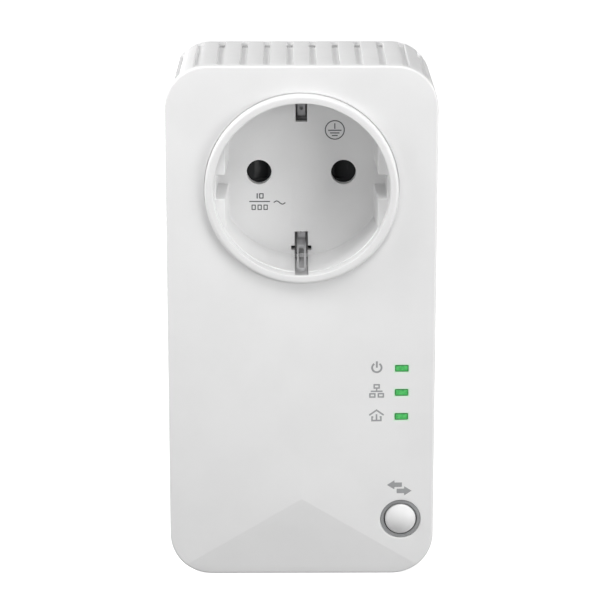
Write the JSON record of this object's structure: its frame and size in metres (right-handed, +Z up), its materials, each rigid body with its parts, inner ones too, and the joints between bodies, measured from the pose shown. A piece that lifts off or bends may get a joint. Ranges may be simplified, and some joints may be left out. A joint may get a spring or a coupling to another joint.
{
  "type": "powerline adapter",
  "caption": "Powerline network adapter with a two-pin earthed plug behind, a matching pass-through socket in front, indicator lights, a pairing button and a network jack below.",
  "frame": {"origin": "centre of the plug's end face, between the two pins, on the plug's axis", "axes": "+Y out of the wall side, along the plug pins; +Z up, from the network jack towards the socket; +X to the right seen from the front"},
  "size_m": [0.0598, 0.0695, 0.118],
  "materials": {
    "white_plastic": "fine matt white, slightly satin",
    "grey_plastic": "matt mid grey",
    "dark_plastic": "matt black",
    "clear_pipe": "translucent green light pipe, lit",
    "led_green": "clear epoxy, lit green",
    "spring_steel": "bright spring steel",
    "nickel": "nickel plated",
    "fuse_metal": "nickel caps",
    "brass": "plain brass",
    "board_green": "green solder mask",
    "yellow_case": "yellow capacitor case",
    "blue_sleeve": "dark blue sleeve",
    "brown_wire": "brown insulation",
    "ferrite": "dark grey ferrite"
  },
  "bodies": {
    "housing": {"front_cover": "white_plastic", "rear_cover": "white_plastic", "socket_insert": "white_plastic", "plug_body": "white_plastic", "button_bezel": "grey_plastic", "light_pipe_power": "clear_pipe", "light_pipe_ethernet": "clear_pipe", "light_pipe_powerline": "clear_pipe", "shutter_spring": "spring_steel", "contact_carrier": "grey_plastic", "line_contact": "brass", "neutral_contact": "brass", "earth_bridge": "brass", "earth_pin_contact": "brass", "jack_contacts": "brass", "plug_pin_line": "nickel", "plug_pin_neutral": "nickel", "plug_earth_strip_upper": "nickel", "plug_earth_strip_lower": "nickel", "jack_shield": "nickel", "jack_body": "dark_plastic", "chip_shield": "nickel", "housing_screw_upper_left": "spring_steel", "housing_screw_upper_right": "spring_steel", "housing_screw_lower_left": "spring_steel", "housing_screw_lower_right": "spring_steel", "board_screw_left": "spring_steel", "board_screw_right": "spring_steel", "main_pcb": "board_green", "modem_pcb": "board_green", "board_connector": "dark_plastic", "power_transformer": "dark_plastic", "bulk_capacitor": "blue_sleeve", "x_capacitor": "yellow_case", "filter_choke": "ferrite", "fuse": "fuse_metal", "coupling_transformer": "dark_plastic", "lan_magnetics": "dark_plastic", "pair_switch": "dark_plastic", "reset_switch": "dark_plastic", "led_power": "led_green", "led_ethernet": "led_green", "led_powerline": "led_green", "line_wire": "brown_wire", "neutral_wire": "blue_sleeve"},
    "pair_button": {"pair_button": "white_plastic"},
    "pair_switch_plunger": {"pair_switch_plunger": "grey_plastic"},
    "shutter": {"shutter": "dark_plastic"},
    "earth_clip_upper": {"earth_clip_upper": "spring_steel"},
    "earth_clip_lower": {"earth_clip_lower": "spring_steel"},
    "reset_plunger": {"reset_plunger": "grey_plastic"}
  },
  "joints": [
    {"name": "pair_press", "type": "slide", "parent": "housing", "child": "pair_button", "axis": [0, 1, 0], "range_m": [0, 0.0005], "stiffness_N_per_m": 1500, "springref_m": -0.0006},
    {"name": "pair_switch_press", "type": "slide", "parent": "housing", "child": "pair_switch_plunger", "axis": [0, 1, 0], "range_m": [0, 0.00025]},
    {"name": "shutter_turn", "type": "hinge", "parent": "housing", "child": "shutter", "pos_m": [0, -0.0298, 0], "axis": [0, 1, 0], "range_deg": [0, 38], "stiffness_Nm_per_rad": 0.012, "springref_deg": -28.65},
    {"name": "earth_clip_upper_flex", "type": "hinge", "parent": "housing", "child": "earth_clip_upper", "pos_m": [0, -0.0242, 0.0122], "axis": [-1, 0, 0], "range_deg": [0, 1.5], "stiffness_Nm_per_rad": 0.9},
    {"name": "earth_clip_lower_flex", "type": "hinge", "parent": "housing", "child": "earth_clip_lower", "pos_m": [0, -0.0242, -0.0122], "axis": [1, 0, 0], "range_deg": [0, 1.5], "stiffness_Nm_per_rad": 0.9},
    {"name": "reset_press", "type": "slide", "parent": "housing", "child": "reset_plunger", "axis": [0, 0, 1], "range_m": [0, 0.00025], "stiffness_N_per_m": 1500, "springref_m": -0.0006}
  ],
  "couplings": [
    {"joint": "pair_switch_press", "follows": "pair_press", "ratio": 0.5}
  ]
}
